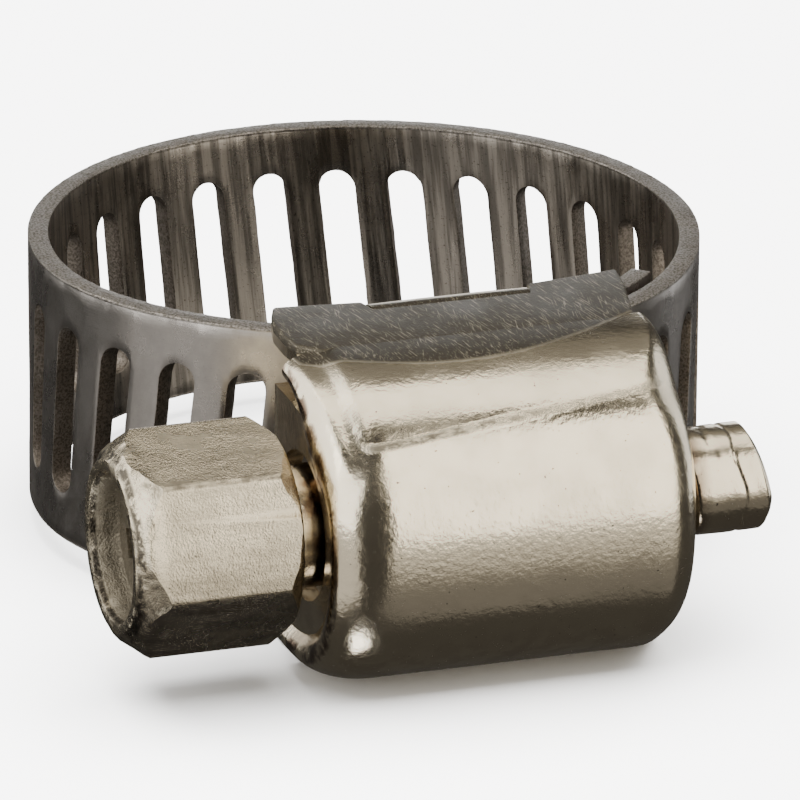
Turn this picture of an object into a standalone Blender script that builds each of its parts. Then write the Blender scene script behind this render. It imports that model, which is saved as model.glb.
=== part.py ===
"""Miniature worm-drive hose clamp with a perforated 8 mm band, shown nearly fully open.

The frame: the origin is the centre of the hose ring halfway up the band, +Z runs along the hose, the
housing stands at -Y, and the screw lies along X with its hex head at -X.

Places along the band are given by the angle round the ring, measured from the housing (-Y) by way of
-X, so the band leaves the housing at its left end, goes round, and comes back at its right end a full
turn later, one layer further out. Angles below zero belong to the fixed end's stub.
"""

import math

import bmesh
import bpy
import numpy as np
from mathutils import Matrix, Vector

# Band, in metres and degrees
BAND_WIDTH = 0.0080
BAND_THICKNESS = 0.0006
FIXED_LAYER_RADIUS = 0.0090  # outer faces: the layer inside the housing, the ring, the driven layer
RING_RADIUS = 0.00978
DRIVEN_LAYER_RADIUS = 0.0100
RISE_TO_RING = (28.0, 88.0)
RISE_TO_DRIVEN_LAYER = (286.0, 326.0)
STUB_ANGLE = -48.5
TIP_ANGLE = 380.0

# Slots punched across the band
SLOT_PITCH = 0.0021
SLOT_WIDTH = 0.0011
SLOT_LENGTH = 0.0052
SLOT_SLANT = math.radians(6.3)
REFERENCE_SLOT_ANGLE = 182.0
FIRST_SLOT = -11  # counted from the reference slot: beside the housing's left end
LAST_SLOT = 15  # inside the housing, near the free end's tip
SLOTS_PER_LINK = 2
LAST_HINGE_SLOT = 7
LINK_GAP = 0.00012

# Screw
SCREW_AXIS_Y = -0.01241
WORM_RADIUS = 0.00305
WORM_ROOT_RADIUS = 0.0021
WORM_SPAN = (-0.0046, 0.0040)
THREAD_ROOT_WIDTH = 0.00080
THREAD_CREST_WIDTH = 0.00042
THREAD_STEPS = 28
NECK_RADIUS = 0.00175
TAIL_RADIUS = 0.00155
TAIL_END = 0.00765
HEX_ACROSS_FLATS = 0.00565
HEX_TURN = math.radians(12.2)  # the upper flat leans this far away from the ring
HEAD_END = -0.01150
HEAD_BACK = -0.00665
HEAD_RIM_RADIUS = 0.00262
RECESS_RADIUS = 0.00215
RECESS_DEPTH = 0.0006
DRIVER_SLOT = (0.0016, 0.0009)  # depth from the end, width

# Housing
SHEET = 0.00065
HOUSING_HALF_HEIGHT = 0.0047
HOUSING_LEFT = -0.0056
DOME_LEFT = -0.0060
DOME_RIGHT = 0.00485
PLATE_RIGHT = 0.00525
PLATE_REAR = -0.0073
PLATE_LEFT_CORNER = (-0.00515, -0.0085)
DOME_CROWN = -0.0164
DOME_START = -0.0109
DOME_POWER = 2.35
DOME_LEFT_ROUNDING = 0.0009
DOME_RIGHT_ROUNDING = 0.0015
CAVITY_REAR = -0.0088
CHANNEL_RADII = (0.00830, 0.01030)
CHANNEL_HALF_HEIGHT = 0.00408
STRAP_HALF_WIDTH = 0.00235
STRAP_INNER_RADIUS = 0.00765
NECK_HOLE_RADIUS = 0.0021
TAIL_HOLE_RADIUS = 0.0019


def clear_scene():
    for obj in list(bpy.data.objects):
        bpy.data.objects.remove(obj)


def collection(name):
    made = bpy.data.collections.new(name)
    bpy.context.scene.collection.children.link(made)
    return made


def material(name, colour, metallic, roughness):
    made = bpy.data.materials.new(name)
    made.use_nodes = True
    shader = made.node_tree.nodes["Principled BSDF"]
    shader.inputs["Base Color"].default_value = (*colour, 1.0)
    shader.inputs["Metallic"].default_value = metallic
    shader.inputs["Roughness"].default_value = roughness
    return made


def add_object(name, bm, group):
    mesh = bpy.data.meshes.new(name)
    bm.to_mesh(mesh)
    bm.free()
    obj = bpy.data.objects.new(name, mesh)
    group.objects.link(obj)
    return obj


def evaluated_mesh(obj):
    """The object's mesh with its modifiers applied."""
    bpy.context.view_layer.update()
    graph = bpy.context.evaluated_depsgraph_get()
    return bpy.data.meshes.new_from_object(obj.evaluated_get(graph))


def bake_modifiers(obj):
    mesh = evaluated_mesh(obj)
    obj.modifiers.clear()
    obj.data = mesh


def boolean(obj, other, operation):
    step = obj.modifiers.new(other.name, "BOOLEAN")
    step.operation = operation
    step.solver = "EXACT"
    step.object = other
    bake_modifiers(obj)
    bpy.data.objects.remove(other)


# --- the band's path ---------------------------------------------------------------------------


def smooth_step(angle, span):
    t = np.clip((angle - span[0]) / (span[1] - span[0]), 0.0, 1.0)
    return t * t * (3.0 - 2.0 * t)


def outer_radius(angle):
    to_ring = (RING_RADIUS - FIXED_LAYER_RADIUS) * smooth_step(angle, RISE_TO_RING)
    to_driven = (DRIVEN_LAYER_RADIUS - RING_RADIUS) * smooth_step(angle, RISE_TO_DRIVEN_LAYER)
    return FIXED_LAYER_RADIUS + to_ring + to_driven


def ring_point(angle, out, z):
    """A point at this angle, this far outside the band's mid-line and at this height."""
    radius = outer_radius(angle) - BAND_THICKNESS / 2 + out
    turn = math.radians(angle)
    return Vector((-radius * math.sin(turn), -radius * math.cos(turn), z))


ANGLES = np.arange(-60.0, 400.0, 0.1)
MID_LINE = np.array([ring_point(angle, 0.0, 0.0) for angle in ANGLES])
LENGTHS = np.concatenate([[0.0], np.cumsum(np.linalg.norm(np.diff(MID_LINE, axis=0), axis=1))])


def length_at(angle):
    return float(np.interp(angle, ANGLES, LENGTHS))


def angle_at(length):
    return float(np.interp(length, LENGTHS, ANGLES))


def slot_length(slot):
    """How far along the band this slot's centre is."""
    return length_at(REFERENCE_SLOT_ANGLE) + slot * SLOT_PITCH


# --- the band's pieces -------------------------------------------------------------------------


def slot_cutter(lengths, group):
    """Round-ended punches standing through the flat strip, at these places along it."""
    bm = bmesh.new()
    sides = 12
    radius = SLOT_WIDTH / 2 / math.cos(math.pi / sides)
    straight = (SLOT_LENGTH - SLOT_WIDTH) / 2
    for length in lengths:
        made = bmesh.ops.create_cone(
            bm,
            cap_ends=True,
            segments=sides,
            radius1=radius,
            radius2=radius,
            depth=BAND_THICKNESS * 3,
            matrix=Matrix.Rotation(math.pi / sides, 4, "Z"),
        )["verts"]
        for vert in made:
            vert.co.y += math.copysign(straight, vert.co.y)
        stand_up = Matrix.Rotation(math.pi / 2, 4, "X")
        lean = Matrix.Rotation(-SLOT_SLANT, 4, "Y")
        bmesh.ops.transform(bm, matrix=Matrix.Translation((length, 0, 0)) @ lean @ stand_up, verts=made)
    return add_object("slots", bm, group)


def flat_strip(name, start, end, group):
    """A flat bar along X, cut across every quarter pitch so that it can be bent."""
    bm = bmesh.new()
    bmesh.ops.create_cube(bm, size=1.0)
    bmesh.ops.scale(bm, vec=(end - start, BAND_THICKNESS, BAND_WIDTH), verts=bm.verts)
    bmesh.ops.translate(bm, vec=((start + end) / 2, 0, 0), verts=bm.verts)
    count = max(2, round((end - start) / (SLOT_PITCH / 3)))
    for cut in range(1, count):
        place = start + (end - start) * cut / count
        everything = bm.verts[:] + bm.edges[:] + bm.faces[:]
        bmesh.ops.bisect_plane(bm, geom=everything, plane_co=(place, 0, 0), plane_no=(1, 0, 0))
    return add_object(name, bm, group)


def band_piece(name, start, end, slots, hinge, finish, group, cutters):
    """A slotted stretch of band, bent along its path, with its origin on the hinge that carries it."""
    strip = flat_strip(name, start, end, group)
    if slots:
        boolean(strip, slot_cutter([slot_length(slot) for slot in slots], cutters), "DIFFERENCE")
    pivot = Vector((0, 0, 0)) if hinge is None else ring_point(angle_at(hinge), 0.0, 0.0)
    for vert in strip.data.vertices:
        along, out, up = vert.co
        vert.co = ring_point(angle_at(along), out, up) - pivot
    strip.location = pivot
    strip.data.materials.clear()
    strip.data.materials.append(finish)
    return strip


def build_band(finish, group, cutters):
    hinge_slots = list(range(FIRST_SLOT, LAST_HINGE_SLOT + 1, SLOTS_PER_LINK))
    hinges = [slot_length(slot) for slot in hinge_slots]
    half_gap = LINK_GAP / 2
    band_piece(
        "band_fixed_end", length_at(STUB_ANGLE), hinges[0] - half_gap, hinge_slots[:1], None, finish, group, cutters
    )
    for number, (first, last) in enumerate(zip(hinge_slots, hinge_slots[1:]), start=1):
        start = slot_length(first)
        band_piece(
            f"band_link_{number:02d}",
            start + half_gap,
            slot_length(last) - half_gap,
            range(first, last + 1),
            start,
            finish,
            group,
            cutters,
        )
    band_piece(
        "band_free_end",
        hinges[-1] + half_gap,
        length_at(TIP_ANGLE),
        range(LAST_HINGE_SLOT, LAST_SLOT + 1),
        hinges[-1],
        finish,
        group,
        cutters,
    )


# --- turned and lofted shapes --------------------------------------------------------------------


def turned(name, profile, sides, group):
    """A profile of (place along X, radius), from the low end to the high one, turned about the X axis."""
    bm = bmesh.new()
    verts = [bm.verts.new((radius, 0, place)) for place, radius in reversed(profile)]
    for first, second in zip(verts, verts[1:]):
        bm.edges.new((first, second))
    obj = add_object(name, bm, group)
    spin = obj.modifiers.new("turn", "SCREW")
    spin.steps = sides
    spin.render_steps = sides
    spin.use_merge_vertices = True
    spin.merge_threshold = 0.00001
    bake_modifiers(obj)
    obj.data.transform(Matrix.Rotation(math.pi / 2, 4, "Y"))
    return obj


def loft(name, sections, group):
    """A closed solid through rings of the same number of points."""
    bm = bmesh.new()
    rings = [[bm.verts.new(point) for point in section] for section in sections]
    for low, high in zip(rings, rings[1:]):
        for index in range(len(low)):
            after = (index + 1) % len(low)
            bm.faces.new((low[index], low[after], high[after], high[index]))
    bm.faces.new(rings[0])
    bm.faces.new(rings[-1])
    bmesh.ops.recalc_face_normals(bm, faces=bm.faces)
    return add_object(name, bm, group)


def prism(name, outline, low, high, group):
    """An outline in plan, standing from one height to another."""
    return loft(name, [[(x, y, z) for x, y in outline] for z in (low, high)], group)


# --- the screw -----------------------------------------------------------------------------------


def hex_head(group):
    """The hexagon with a chamfer at each end, where a cone meets its corners, and a dished, slotted end."""
    corner = HEX_ACROSS_FLATS / 2 / math.cos(math.pi / 6)
    bm = bmesh.new()
    bmesh.ops.create_cone(
        bm, cap_ends=True, segments=6, radius1=corner, radius2=corner, depth=HEAD_BACK - HEAD_END
    )
    lay_down = Matrix.Rotation(math.pi / 2, 4, "Y")
    turn = Matrix.Rotation(HEX_TURN, 4, "X")
    place = Matrix.Translation(((HEAD_END + HEAD_BACK) / 2, 0, 0))
    bmesh.ops.transform(bm, matrix=place @ turn @ lay_down, verts=bm.verts)
    head = add_object("head", bm, group)
    chamfers = turned(
        "chamfers",
        [
            (HEAD_END - 0.0002, 0.0),
            (HEAD_END - 0.0002, HEAD_RIM_RADIUS - 0.0001),
            (HEAD_END + 0.0011, corner + 0.0001),
            (HEAD_BACK - 0.0007, corner + 0.0001),
            (HEAD_BACK + 0.0002, corner - 0.0005),
            (HEAD_BACK + 0.0002, 0.0),
        ],
        36,
        group,
    )
    boolean(head, chamfers, "INTERSECT")
    recess = turned(
        "recess",
        [
            (HEAD_END - 0.0005, 0.0),
            (HEAD_END - 0.0005, RECESS_RADIUS),
            (HEAD_END + RECESS_DEPTH, RECESS_RADIUS - 0.0003),
            (HEAD_END + RECESS_DEPTH, 0.0),
        ],
        24,
        group,
    )
    boolean(head, recess, "DIFFERENCE")
    depth, width = DRIVER_SLOT
    bm = bmesh.new()
    bmesh.ops.create_cube(bm, size=1.0)
    bmesh.ops.scale(bm, vec=(2 * depth, 2 * RECESS_RADIUS, width), verts=bm.verts)
    bmesh.ops.rotate(bm, matrix=Matrix.Rotation(math.radians(-20), 3, "X"), verts=bm.verts)
    bmesh.ops.translate(bm, vec=(HEAD_END, 0, 0), verts=bm.verts)
    boolean(head, add_object("driver_slot", bm, group), "DIFFERENCE")
    return head


def worm_thread(group):
    """A right-hand ridge round the worm. At the side facing the ring it stands in a slot of the band."""
    mesh_angle = math.radians(angle_at(slot_length(LAST_SLOT - 1)))
    mesh_place = -(DRIVEN_LAYER_RADIUS - BAND_THICKNESS / 2) * math.sin(mesh_angle)
    turns_before = 2.1
    turns = 3.7
    buried = WORM_ROOT_RADIUS - 0.0002
    bm = bmesh.new()
    outline = (
        (-THREAD_ROOT_WIDTH / 2, buried),
        (-THREAD_CREST_WIDTH / 2, WORM_RADIUS),
        (THREAD_CREST_WIDTH / 2, WORM_RADIUS),
        (THREAD_ROOT_WIDTH / 2, buried),
    )
    start = Matrix.Rotation(-turns_before * 2 * math.pi, 3, "X")
    lift = Vector((mesh_place - turns_before * SLOT_PITCH, 0, 0))
    face = bm.faces.new([bm.verts.new(start @ Vector((x, radius, 0)) + lift) for x, radius in outline])
    steps = round(turns * THREAD_STEPS)
    bmesh.ops.spin(
        bm,
        geom=[face, *face.edges, *face.verts],
        cent=(0, 0, 0),
        axis=(1, 0, 0),
        dvec=(turns * SLOT_PITCH / steps, 0, 0),
        angle=turns * 2 * math.pi,
        steps=steps,
        use_merge=False,
    )
    bmesh.ops.recalc_face_normals(bm, faces=bm.faces)
    return add_object("thread", bm, group)


def build_screw(finish, group, cutters):
    """One piece: hex head, neck, worm and tail."""
    low, high = WORM_SPAN
    screw = turned(
        "worm_screw",
        [
            (HEAD_BACK - 0.0010, 0.0),
            (HEAD_BACK - 0.0010, NECK_RADIUS),
            (low, NECK_RADIUS),
            (low, WORM_ROOT_RADIUS),
            (high, WORM_ROOT_RADIUS),
            (high, TAIL_RADIUS),
            (TAIL_END - 0.0003, TAIL_RADIUS),
            (TAIL_END, TAIL_RADIUS - 0.0003),
            (TAIL_END, 0.0),
        ],
        28,
        group,
    )
    boolean(screw, worm_thread(cutters), "UNION")
    boolean(screw, hex_head(cutters), "UNION")
    screw.location = (0, SCREW_AXIS_Y, 0)
    screw.data.materials.clear()
    screw.data.materials.append(finish)


# --- the housing -----------------------------------------------------------------------------------


def dome_section(place, inset, rear, half_count=14):
    """The dome's outline across the screw at this X, drawn in by the inset: flat at the band, round outside."""
    half_height = HOUSING_HALF_HEIGHT - inset
    reach = DOME_START - DOME_CROWN - inset
    points = [(place, rear, -half_height)]
    for step in range(2 * half_count + 1):
        turn = math.pi * (step / (2 * half_count) - 0.5)
        across = abs(math.cos(turn)) ** (2 / DOME_POWER)
        up = math.copysign(abs(math.sin(turn)) ** (2 / DOME_POWER), math.sin(turn))
        points.append((place, DOME_START - reach * across, half_height * up))
    points.append((place, rear, half_height))
    return points


def dome(group):
    """The hump over the worm, with a rounded edge at each end."""
    sections = []
    for end, rounding, way in (
        (DOME_LEFT, DOME_LEFT_ROUNDING, 1),
        (DOME_RIGHT, DOME_RIGHT_ROUNDING, -1),
    ):
        ring = []
        for step in range(5):
            turn = math.pi / 2 * step / 4
            inset = rounding * (1 - math.sin(turn))
            place = end + way * rounding * (1 - math.cos(turn))
            ring.append(dome_section(place, inset, DOME_START + 0.0010))
        sections += ring if way > 0 else ring[::-1]
    return loft("dome", sections, group)


def ring_cutter(name, radii, span, half_height, group):
    """A curved bar about the hose axis, between two radii."""
    outline = []
    for radius, way in zip(radii, (1, -1)):
        for step in range(29)[::way]:
            turn = math.radians(span[0] + (span[1] - span[0]) * step / 28)
            outline.append((-radius * math.sin(turn), -radius * math.cos(turn)))
    return prism(name, outline, -half_height, half_height, group)


def build_housing(finish, group, cutters):
    """One folded piece: a sleeve round both layers of band, a dome over the worm, and a wall at each end."""
    plates = prism(
        "housing",
        [
            (PLATE_LEFT_CORNER[0], PLATE_REAR),
            (PLATE_RIGHT, PLATE_REAR),
            (DOME_RIGHT, DOME_START),
            (HOUSING_LEFT, DOME_START),
            (HOUSING_LEFT, PLATE_LEFT_CORNER[1]),
        ],
        -HOUSING_HALF_HEIGHT,
        HOUSING_HALF_HEIGHT,
        group,
    )
    boolean(plates, dome(cutters), "UNION")
    ends = (DOME_LEFT + SHEET, DOME_RIGHT - SHEET)
    cavity = loft("cavity", [dome_section(end, SHEET, CAVITY_REAR) for end in ends], cutters)
    boolean(plates, cavity, "DIFFERENCE")
    channel = ring_cutter("channel", CHANNEL_RADII, (-60, 60), CHANNEL_HALF_HEIGHT, cutters)
    boolean(plates, channel, "DIFFERENCE")
    inside = ring_cutter("inside", (0.004, STRAP_INNER_RADIUS), (-80, 80), 0.006, cutters)
    boolean(plates, inside, "DIFFERENCE")
    for side in (-1, 1):
        near, far = side * STRAP_HALF_WIDTH, side * 0.007
        outline = [(near, -0.0060), (far, -0.0060), (far, -0.0088), (near, -0.0088)]
        bay = prism("bay", outline, -CHANNEL_HALF_HEIGHT, CHANNEL_HALF_HEIGHT, cutters)
        boolean(plates, bay, "DIFFERENCE")
    for end, radius in ((DOME_LEFT, NECK_HOLE_RADIUS), (DOME_RIGHT, TAIL_HOLE_RADIUS)):
        low, high = end - 0.001, end + 0.001
        hole = turned("hole", [(low, 0.0), (low, radius), (high, radius), (high, 0.0)], 28, cutters)
        hole.data.transform(Matrix.Translation((0, SCREW_AXIS_Y, 0)))
        boolean(plates, hole, "DIFFERENCE")
    plates.data.materials.clear()
    plates.data.materials.append(finish)


def main():
    clear_scene()
    group = collection("hose_clamp")
    cutters = collection("cutters")
    band_steel = material("band_steel", (0.34, 0.33, 0.33), 1.0, 0.38)
    housing_nickel = material("housing_nickel", (0.62, 0.59, 0.52), 1.0, 0.27)
    screw_nickel = material("screw_nickel", (0.60, 0.57, 0.50), 1.0, 0.32)
    build_band(band_steel, group, cutters)
    build_housing(housing_nickel, group, cutters)
    build_screw(screw_nickel, group, cutters)


main()
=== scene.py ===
"""The looks of a miniature worm-drive hose clamp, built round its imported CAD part.

Laid out as an add-on and run as a script: each operator makes one piece or one group of like pieces.
Metres and degrees throughout. The origin is the centre of the hose ring, +Z runs along the hose, the
housing stands at -Y and the screw lies along X with its hexagon at -X.

Places along the band are given by the angle round the ring, measured from the housing by way of -X, so
a full turn later the band is back at the housing, one layer further out.
"""

import math

import bmesh
import bpy
import numpy as np
from bpy.props import FloatProperty, FloatVectorProperty, IntProperty, PointerProperty
from mathutils import Matrix, Vector, noise


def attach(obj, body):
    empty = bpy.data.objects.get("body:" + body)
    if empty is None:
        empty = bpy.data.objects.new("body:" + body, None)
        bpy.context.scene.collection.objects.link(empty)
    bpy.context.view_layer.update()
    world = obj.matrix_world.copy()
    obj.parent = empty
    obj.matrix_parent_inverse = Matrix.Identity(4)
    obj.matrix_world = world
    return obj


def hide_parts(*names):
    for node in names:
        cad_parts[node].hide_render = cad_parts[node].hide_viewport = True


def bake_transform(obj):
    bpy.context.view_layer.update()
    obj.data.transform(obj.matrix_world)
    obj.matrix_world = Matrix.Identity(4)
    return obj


bl_info = {
    "name": "Worm-drive hose clamp",
    "version": (1, 0, 0),
    "blender": (4, 5, 0),
    "location": "View3D > Sidebar > Hose clamp",
    "description": "Builds the band, housing and screw of a small worm-drive hose clamp",
    "category": "Add Mesh",
}

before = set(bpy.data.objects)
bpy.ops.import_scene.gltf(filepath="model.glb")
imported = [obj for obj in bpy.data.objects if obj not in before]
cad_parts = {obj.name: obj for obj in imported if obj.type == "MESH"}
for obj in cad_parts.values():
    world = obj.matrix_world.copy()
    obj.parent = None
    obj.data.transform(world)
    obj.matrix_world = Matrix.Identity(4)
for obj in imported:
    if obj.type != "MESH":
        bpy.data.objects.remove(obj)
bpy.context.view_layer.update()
MM = 0.001
SCREW_AXIS = -12.41  # in Y, in millimetres
FLOOR_HEIGHT = -4.705 * MM  # a hair under the bottom face
EDGE_SEED = 1  # for the wander of the sheared edges
HEX_LEAN = math.radians(12.2)  # how far the hexagon is turned from a flat face on top


def length(name, description, millimetres):
    return FloatProperty(
        name=name, description=description, default=millimetres * MM, subtype="DISTANCE", unit="LENGTH"
    )


def colour(name, description, default):
    return FloatVectorProperty(
        name=name, description=description, default=default, size=3, subtype="COLOR", min=0.0, max=1.0
    )


class BandSizes(bpy.types.PropertyGroup):
    """The strip, its path and its slots."""

    width: length("Width", "Height of the strip along the hose", 8.0)
    thickness: length("Thickness", "Thickness of the strip", 0.6)
    fixed_radius: length("Fixed layer", "Outer radius of the layer held in the housing", 9.0)
    ring_radius: length("Ring", "Outer radius of the ring", 9.78)
    driven_radius: length("Driven layer", "Outer radius of the layer that the thread drives", 10.0)
    slot_pitch: length("Slot pitch", "Distance from slot to slot", 2.1)
    slot_width: length("Slot width", "Width of a slot", 1.1)
    slot_length: length("Slot length", "Length of a slot across the strip", 5.2)
    edge_round: length("Edge rounding", "Rounding of the sheared edges", 0.03)
    slots_per_hinge: IntProperty(name="Slots per hinge", description="Slots from hinge to hinge", default=2)
    first_slot: IntProperty(name="First slot", description="Counted from the one at the back", default=-11)
    last_slot: IntProperty(name="Last slot", description="The one nearest the free end", default=15)


class ScrewSizes(bpy.types.PropertyGroup):
    """The hexagon, neck, worm and tail."""

    axis_y: length("Axis", "Where the screw's axis stands in Y", SCREW_AXIS)
    across_flats: length("Across flats", "Width of the hexagon", 5.65)
    head_end: length("Head end", "Outer end of the hexagon in X", -11.5)
    head_back: length("Head back", "Inner end of the hexagon in X", -6.65)
    rim_radius: length("Rim radius", "Outer radius of the flat rim on the end", 2.55)
    dish_radius: length("Dish radius", "Radius of the dished end inside the rim", 2.12)
    neck_radius: length("Neck radius", "Radius between head and worm", 1.75)
    root_radius: length("Worm root", "Radius at the root of the thread", 2.1)
    worm_radius: length("Worm radius", "Radius over the thread", 3.05)
    tail_radius: length("Tail radius", "Radius of the tail", 1.55)
    tail_end: length("Tail end", "Outer end of the tail in X", 7.62)


class HousingSizes(bpy.types.PropertyGroup):
    """The folded and domed sheet."""

    sheet: length("Sheet", "Thickness of the sheet", 0.65)
    half_height: length("Half height", "From the middle to the top face", 4.7)
    left: length("Left", "Left end of the dome in X", -6.0)
    right: length("Right", "Right end of the dome in X", 4.85)
    crown: length("Crown", "Outermost place of the dome in Y", -16.38)
    dome_start: length("Dome start", "Where the top face ends and the dome begins in Y", -10.9)
    strap_rear: length("Strap rear", "Rear face of the strap inside the ring in Y", -7.20)
    dome_power: FloatProperty(name="Fullness", description="Squareness of the dome's section", default=2.45)


class Finishes(bpy.types.PropertyGroup):
    """The colours of the metals and of what dulls them; the brown is also painted as shade."""

    steel: colour("Steel", "Rolled stainless strip", (0.42, 0.395, 0.37))
    steel_inside: colour("Steel inside", "The strip's inner face, stained by handling", (0.44, 0.40, 0.35))
    nickel: colour("Nickel", "Plated sheet", (0.90, 0.80, 0.61))
    screw_nickel: colour("Screw nickel", "Plated screw", (0.80, 0.705, 0.53))
    # This brown is also painted as shade towards the housing's bottom.
    tarnish_and_painted_shade: colour("Tarnish", "Brown film where plating is thin", (0.16, 0.075, 0.035))
    grime: colour("Grime", "Dirt in pits and corners", (0.035, 0.030, 0.024))


class StageSizes(bpy.types.PropertyGroup):
    """The floor and the camera."""

    floor: colour("Floor", "Pale floor", (0.88, 0.88, 0.88))
    distance: length("Camera distance", "From the ring's centre", 300.0)
    lens: FloatProperty(name="Lens", description="Focal length in millimetres", default=461.475)


# --- small helpers ---


def eased(t):
    """A smooth step from 0 to 1."""
    t = np.clip(t, 0.0, 1.0)
    return t * t * (3.0 - 2.0 * t)


def mesh_object(name, bm):
    mesh = bpy.data.meshes.new(name)
    bm.to_mesh(mesh)
    bm.free()
    made = bpy.data.objects.new(name, mesh)
    bpy.context.scene.collection.objects.link(made)
    return made


def baked(obj):
    """Gives the object the mesh that its modifiers make, and removes them."""
    bpy.context.view_layer.update()
    graph = bpy.context.evaluated_depsgraph_get()
    mesh = bpy.data.meshes.new_from_object(obj.evaluated_get(graph))
    obj.modifiers.clear()
    obj.data = mesh


def boolean(obj, other, operation):
    step = obj.modifiers.new(other.name, "BOOLEAN")
    step.operation = operation
    step.solver = "EXACT"
    step.object = other
    baked(obj)
    bpy.data.objects.remove(other)


def joined(objs, name):
    """One object of several that already stand in place."""
    bm = bmesh.new()
    for obj in objs:
        bm.from_mesh(obj.data)
        bpy.data.objects.remove(obj)
    return mesh_object(name, bm)


def shade(obj, degrees=32.0):
    """Smooth faces with edges kept where the surface turns by more than this."""
    obj.data.shade_smooth()
    obj.data.set_sharp_from_angle(angle=math.radians(degrees))


def finished(obj, finish, body, slot_name, *nodes):
    """Gives a piece its finish and its body, and hides the CAD nodes that it stands for."""
    obj.data.materials.clear()
    obj.data.materials.append(finish)
    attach(obj, body)
    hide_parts(*nodes)


def grid_surface(bm, rows, close_rows=False, close_columns=False):
    """Faces over a grid of points. It returns the vertices, row by row."""
    verts = [[bm.verts.new(point) for point in row] for row in rows]
    pairs = list(zip(verts, verts[1:])) + ([(verts[-1], verts[0])] if close_rows else [])
    for low, high in pairs:
        count = len(low)
        for index in range(count if close_columns else count - 1):
            after = (index + 1) % count
            bm.faces.new((low[index], low[after], high[after], high[index]))
    return verts


def face_out(bm):
    bmesh.ops.remove_doubles(bm, verts=bm.verts, dist=1e-6)
    bmesh.ops.recalc_face_normals(bm, faces=bm.faces)


def prism(ends):
    """A closed mesh between two outlines with as many points."""
    bm = bmesh.new()
    verts = grid_surface(bm, ends, close_columns=True)
    bm.faces.new(verts[0])
    bm.faces.new(verts[1])
    bmesh.ops.recalc_face_normals(bm, faces=bm.faces)
    return bm


def bevelled(bm, edges, width, segments, **settings):
    bmesh.ops.bevel(bm, geom=edges, offset=width, segments=segments, profile=0.5, affect="EDGES", **settings)


def round_axis(place, axis_y, radius, turn):
    """A point this far from the screw's axis. turn starts at +Z and goes towards -Y."""
    return (place, axis_y - radius * math.sin(turn), radius * math.cos(turn))


def turned(name, profile, sides, axis_y):
    """A closed profile of (place along X, radius) turned about the screw's axis."""
    bm = bmesh.new()
    turns = [2 * math.pi * side / sides for side in range(sides)]
    rows = [[round_axis(place, axis_y, radius, turn) for turn in turns] for place, radius in profile]
    grid_surface(bm, rows, close_columns=True)
    face_out(bm)
    return mesh_object(name, bm)


# --- node helpers ---


def add_node(tree, kind, values=None, **settings):
    """A node with its settings, and its inputs set to values or linked to sockets or fields."""
    made = tree.nodes.new(kind)
    for key, value in settings.items():
        setattr(made, key, value)
    for key, value in (values or {}).items():
        value = getattr(value, "socket", value)
        if isinstance(value, bpy.types.NodeSocket):
            tree.links.new(value, made.inputs[key])
        else:
            made.inputs[key].default_value = value
    return made


class Field:
    """An output of a shader node. Arithmetic on it adds Math nodes to its tree."""

    def __init__(self, socket):
        self.socket = socket
        self.tree = socket.id_data

    def maths(self, operation, first, second=0.0, clamp=False):
        settings = {"operation": operation, "use_clamp": clamp}
        return Field(add_node(self.tree, "ShaderNodeMath", {0: first, 1: second}, **settings).outputs[0])

    def __add__(self, other):
        return self.maths("ADD", self, other)

    def __sub__(self, other):
        return self.maths("SUBTRACT", self, other)

    def __rsub__(self, other):
        return self.maths("SUBTRACT", other, self)

    def __mul__(self, other):
        return self.maths("MULTIPLY", self, other)

    def __abs__(self):
        return self.maths("ABSOLUTE", self)

    def most(self, other):
        return self.maths("MAXIMUM", self, other)

    def ramp(self, low, high, to_low=0.0, to_high=1.0):
        """The value carried smoothly from one span to another, and held at the ends."""
        values = {"Value": self, "From Min": low, "From Max": high, "To Min": to_low, "To Max": to_high}
        made = add_node(self.tree, "ShaderNodeMapRange", values, interpolation_type="SMOOTHSTEP")
        return Field(made.outputs["Result"])

    def span(self, low, high, *results):
        """A ramp between two places given in millimetres."""
        return self.ramp(low * MM, high * MM, *results)

    def near(self, centre, half_width, fade):
        """1 close to a place, 0 beyond it, all in millimetres."""
        return abs(self - centre * MM).ramp(half_width * MM, half_width * MM + fade * MM, 1.0, 0.0)


def coordinates(tree):
    return Field(tree.nodes.new("ShaderNodeTexCoord").outputs["Object"])


def separated(vector):
    parts = add_node(vector.tree, "ShaderNodeSeparateXYZ", {"Vector": vector}).outputs
    return [Field(part) for part in parts]


def placed(vector, scale, turn=(0.0, 0.0, 0.0), move=(0.0, 0.0, 0.0)):
    values = {"Vector": vector, "Scale": scale, "Rotation": [math.radians(a) for a in turn], "Location": move}
    return Field(add_node(vector.tree, "ShaderNodeMapping", values).outputs["Vector"])


def grain(vector, scale, detail=3.0, rough=0.55):
    values = {"Vector": vector, "Scale": scale, "Detail": detail, "Roughness": rough}
    return Field(add_node(vector.tree, "ShaderNodeTexNoise", values).outputs["Fac"])


def blended(share, first, second):
    """The first colour turned into the second by a share. A colour is a field or three numbers."""
    values = {0: share}
    for index, value in ((6, first), (7, second)):
        values[index] = value if isinstance(value, Field) else (*value, 1.0)
    return Field(add_node(share.tree, "ShaderNodeMix", values, data_type="RGBA").outputs[2])


def scaled(tone, share):
    return tuple(share * part for part in tone)


def scratches(vector, turn, fineness, cover, spare=0.0):
    """Thin straight marks in one direction: 1 on a mark."""
    turned_to = placed(vector, (1.0, 1.0, 1.0), turn)
    stretched = placed(turned_to, (fineness * 0.045, fineness, fineness), move=(spare, 0.0, 0.0))
    return grain(stretched, 1.0, 2.0, 0.5).ramp(1.0 - cover, 1.0 - cover + 0.05)


def new_metal(name):
    """A metal material with its shader."""
    made = bpy.data.materials.new(name)
    made.use_nodes = True
    shader = made.node_tree.nodes["Principled BSDF"]
    shader.inputs["Metallic"].default_value = 1.0
    return made, shader


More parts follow.
